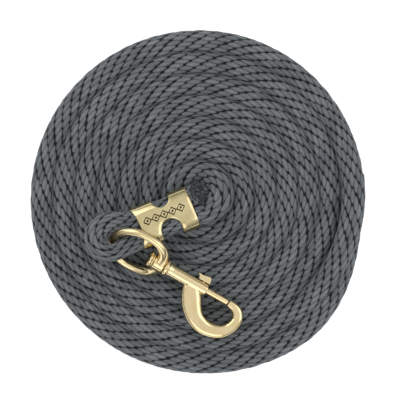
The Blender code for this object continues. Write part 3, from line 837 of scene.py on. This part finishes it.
def make_clamp(material):
    """The stamped plate with its four prongs wrapped round the doubled rope."""
    section = clamp_section()
    plate = sheet_mesh("rope_clamp_plate", section, -CLAMP_LENGTH / 2, CLAMP_LENGTH / 2, CLAMP_SHEET)
    low = slot_outline(NOTCH_AT, -PAST_CLAMP, LOW_NOTCH_TOP, LOW_NOTCH_RADIUS)
    high = slot_outline(NOTCH_AT, HIGH_NOTCH_END, PAST_CLAMP, HIGH_NOTCH_RADIUS)
    under = slot_outline(NOTCH_AT, -PAST_CLAMP, PAST_CLAMP, LOW_NOTCH_RADIUS)
    cuts = [
        prism("notch_low", low, -CLEAR, CLEAR),
        prism("notch_high", high, -CLEAR, CLEAR),
        prism("notch_under", under, -CLEAR, UNDERSIDE),
        prism("hollow_left", disc_outline(*LEFT_HOLLOW), -CLEAR, CLEAR),
        prism("hollow_right", disc_outline(*RIGHT_HOLLOW), -CLEAR, CLEAR),
    ]
    clamp = cast("clamp_plate", plate, material, cut=cuts, voxel=0.22 * MM, passes=12)
    shape_plate(clamp.data)
    turn = Matrix.Rotation(CLAMP_YAW, 4, "Z") @ Matrix.Rotation(CLAMP_TILT, 4, "Y")
    settle(clamp, Matrix.Translation(CLAMP_CENTRE) @ turn, "rope", "rope_clamp")
    return clamp


# ---------------------------------------------------------------- brass snap

def bar_mesh(name, stations, sides=48, steps=8):
    """A bar in the XY plane through (x, y, half width, half height) stations, in mm."""
    path = np.array([tuple(p) for p in smooth_path([Vector(s) * MM for s in stations], steps)])
    ahead = np.gradient(path[:, :2], axis=0)
    ahead /= np.linalg.norm(ahead, axis=1)[:, None]
    turn = 2 * math.pi * np.arange(sides) / sides
    square = (np.abs(np.cos(turn)) ** BAR_POWER + np.abs(np.sin(turn)) ** BAR_POWER) ** (-1 / BAR_POWER)
    wide = path[:, 2, None] * (square * np.cos(turn))[None, :]
    rings = np.stack([path[:, 0, None] - ahead[:, 1, None] * wide,
                      path[:, 1, None] + ahead[:, 0, None] * wide,
                      path[:, 3, None] * (square * np.sin(turn))[None, :]], axis=-1)
    return mesh_from_grid(name, rings)


def ring_mesh(name, around=160, sides=40):
    """The eye's ring, thicker where it meets the boss."""
    angle = 2 * math.pi * np.arange(around) / around
    off = np.minimum(angle, 2 * math.pi - angle)
    wire = RING_WIRE + RING_THICKENING * np.exp(-(off / math.radians(45)) ** 2)
    radius = RING_RADIUS + RING_SHOULDER * np.sin(2 * off) ** 2 * (off < math.pi / 2)
    turn = 2 * math.pi * np.arange(sides) / sides
    far = radius[:, None] + wire[:, None] * np.cos(turn)[None, :]
    high = wire[:, None] * np.sin(turn)[None, :]
    grid = np.stack([far * np.cos(angle)[:, None], far * np.sin(angle)[:, None], high], axis=-1)
    grid = np.concatenate([grid, grid[:1]])
    return face_out(mesh_from_grid(name, grid, close_ends=False), merge=True)


def make_eye(place, material):
    """The round eye with its bored boss."""
    step = 0.6 * MM
    boss = turned("boss", [
        (BOSS_FROM, 0.0), (BOSS_FROM, BOSS_RADIUS - step), (BOSS_FROM + step, BOSS_RADIUS),
        (BOSS_TO - step, BOSS_RADIUS), (BOSS_TO, BOSS_RADIUS - step), (BOSS_TO, 0.0)])
    cuts = [rod("seat", 5 * MM, BOSS_FROM, RIVET_HEAD + 0.4 * MM),
            rod("face", BOSS_TO, BOSS_TO + 5 * MM, COLLAR_RADIUS + 0.4 * MM),
            rod("bore", 10 * MM, 24 * MM, RIVET_RADIUS + GAP)]
    eye = cast("eye_ring", ring_mesh("eye_ring"), material, joined=[boss], cut=cuts, passes=14)
    settle(eye, place @ Matrix.Rotation(RING_TILT, 4, "X"), "eye", "swivel_eye")


def make_rivet(place, material):
    under = BOSS_FROM - 1.7 * MM
    top = under - 3.0 * MM
    profile = rounded_profile([
        (top, 0.0), (top + 0.15 * MM, 2.6 * MM), (top + 0.7 * MM, 4.4 * MM),
        (top + 1.5 * MM, RIVET_HEAD), (under, RIVET_HEAD), (under, RIVET_RADIUS),
        (25.9 * MM, RIVET_RADIUS), (25.9 * MM, 0.0)], 0.5 * MM)
    rivet = add_object("rivet", turned("rivet", profile), material)
    settle(rivet, place, "hook", "swivel_rivet")


def make_washer(place, material):
    back, front, inner = BOSS_FROM - 1.4 * MM, BOSS_FROM - GAP, RIVET_RADIUS + GAP
    profile = [(back, inner), (back, WASHER_RADIUS - 0.25 * MM), (back + 0.25 * MM, WASHER_RADIUS),
               (front - 0.25 * MM, WASHER_RADIUS), (front, WASHER_RADIUS - 0.25 * MM), (front, inner)]
    washer = add_object("washer", turned("washer", profile), material)
    settle(washer, place, "hook", "swivel_washer")


def make_hook(place, material):
    """Collar, bored barrel with the knob's slot, and the hook, cast in one."""
    front = BOSS_TO + GAP
    # collar, neck and barrel
    barrel = turned("barrel", [
        (front, 0.0), (front, COLLAR_RADIUS - 0.5 * MM), (front + 0.5 * MM, COLLAR_RADIUS),
        (24.1 * MM, COLLAR_RADIUS), (24.6 * MM, COLLAR_RADIUS - 0.5 * MM), (25.0 * MM, 5.0 * MM),
        (BARREL_FROM, 4.7 * MM), (28.2 * MM, BARREL_RADIUS), (BARREL_TO - 0.4 * MM, BARREL_RADIUS),
        (BARREL_TO, BARREL_RADIUS - 0.4 * MM), (BARREL_TO, 0.0)])
    # from under the barrel round to the hook's mouth
    stations = [
        (41.0, 0.4, 3.2, 2.4), (44.6, -3.2, 5.6, 3.5), (48.6, -8.9, 6.9, 4.0),
        (52.6, -14.8, 6.7, 4.2), (58.0, -20.0, 6.1, 4.2), (65.2, -22.6, 5.7, 4.2),
        (72.2, -22.4, 5.1, 4.0), (78.8, -19.7, 4.6, 3.9), (83.2, -14.4, 4.1, 3.8),
        (84.6, -8.2, 3.9, 3.6), (82.6, -3.4, 3.7, 3.4), (79.0, -0.9, 3.3, 3.2),
        (73.6, 0.1, 2.8, 2.9)]
    low = KNOB_POST_AT - BOLT_TRAVEL - KNOB_POST_RADIUS - 0.4 * MM
    high = KNOB_POST_AT + KNOB_POST_RADIUS + 0.4 * MM
    half = SLOT_WIDTH / 2
    slot = prism("slot", [(low, 1 * MM), (high, 1 * MM), (high, 9 * MM), (low, 9 * MM)], -half, half)
    cuts = [rod("bore", BORE_FROM, 60 * MM, BORE_RADIUS),
            rod("socket", 20 * MM, 26.2 * MM, RIVET_RADIUS + GAP), slot]
    hook = cast("hook", barrel, material, joined=[bar_mesh("bar", stations)], cut=cuts, passes=7)
    settle(hook, place, "hook", "hook_body")


def make_bolt(place, material):
    profile = rounded_profile([
        (BOLT_FROM, 0.0), (BOLT_FROM, BOLT_RADIUS), (BOLT_TO, BOLT_RADIUS), (BOLT_TO, 0.0)],
        1.1 * MM, 6)
    bolt = add_object("bolt_pin", turned("bolt_pin", profile), material)
    settle(bolt, place, "bolt", "bolt")


def make_knob(place, material):
    """The thumb knob on its post; its top leans back so that a thumb can pull it."""
    outline = [
        (46.6, 4.8), (55.4, 4.8), (55.2, 6.3), (54.6, 8.5), (53.2, 9.2),
        (50.6, 8.8), (48.0, 8.2), (45.4, 8.4), (44.9, 7.7), (46.2, 6.7)]
    points = [(x * MM, y * MM) for x, y in outline]
    body = prism("knob", points, -2.5 * MM, 2.5 * MM)
    post = rod("post", 0.4 * MM, 5.8 * MM, KNOB_POST_RADIUS, 48)
    post.transform(Matrix.Translation((KNOB_POST_AT, 0, 0)) @ Matrix.Rotation(math.pi / 2, 4, "Z"))
    knob = cast("knob", body, material, joined=[post], voxel=0.18 * MM, passes=8)
    settle(knob, place, "bolt", "thumb_knob")


def make_spring(place, material):
    """The coil spring behind the bolt, at its rest length; it is not shortened here as the bolt is
    drawn back.
    """
    start = BORE_FROM + SPRING_WIRE + GAP
    length = BOLT_FROM - SPRING_WIRE - GAP - start
    radius = BORE_RADIUS - SPRING_WIRE - GAP
    count = SPRING_TURNS * 36
    share = np.arange(count + 1) / count
    angle = 2 * math.pi * SPRING_TURNS * share
    line = np.stack([start + length * share, radius * np.cos(angle), radius * np.sin(angle)], axis=1)
    out = np.stack([np.zeros_like(angle), np.cos(angle), np.sin(angle)], axis=1)
    turn = 2 * math.pi * np.arange(14) / 14
    rings = (line[:, None, :] + SPRING_WIRE * np.cos(turn)[None, :, None] * out[:, None, :]
             + SPRING_WIRE * np.sin(turn)[None, :, None] * np.array((1.0, 0.0, 0.0)))
    spring = add_object("spring", mesh_from_grid("spring", rings), material)
    settle(spring, place, "hook", "bolt_spring")
    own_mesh(spring)


def make_floor():
    mesh = bpy.data.meshes.new("floor")
    corners = [(x * FLOOR_HALF, y * FLOOR_HALF, 0) for x, y in ((-1, -1), (1, -1), (1, 1), (-1, 1))]
    mesh.from_pydata(corners, [], [(0, 1, 2, 3)])
    add_object("floor", mesh, make_floor_material())


make_camera()
ROPE, ROPE_ROWS, ROPE_DISTANCE = make_rope()
SEALED = make_sealed_material()
ENDS = ROPE_ROWS[:, :3]
TAIL_SEAL = make_seal("tail_seal", ENDS[0], ENDS[0] - ENDS[2], CLAMPED_RADIUS + TAIL_SWELLING, SEALED)
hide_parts("rope_tail_seal")
FAR_SEAL = make_seal("far_seal", ENDS[-1], ENDS[-1] - ENDS[-3], ROPE_RADIUS, SEALED)
CLAMP_BRASS = make_brass_material(
    "clamp_brass", (0.72, 0.62, 0.355), (0.62, 0.51, 0.27), 0.15, 0.27)
SNAP_BRASS = make_brass_material(
    "snap_brass", (0.86, 0.71, 0.42), (0.80, 0.63, 0.34), 0.12, 0.22)
CLAMP = make_clamp(CLAMP_BRASS)
SNAP = snap_frame()
make_eye(SNAP, SNAP_BRASS)
make_rivet(SNAP, SNAP_BRASS)
make_washer(SNAP, SNAP_BRASS)
make_hook(SNAP, SNAP_BRASS)
make_bolt(SNAP, SNAP_BRASS)
make_knob(SNAP, SNAP_BRASS)
make_spring(SNAP, make_steel_material())
make_floor()
make_lighting()
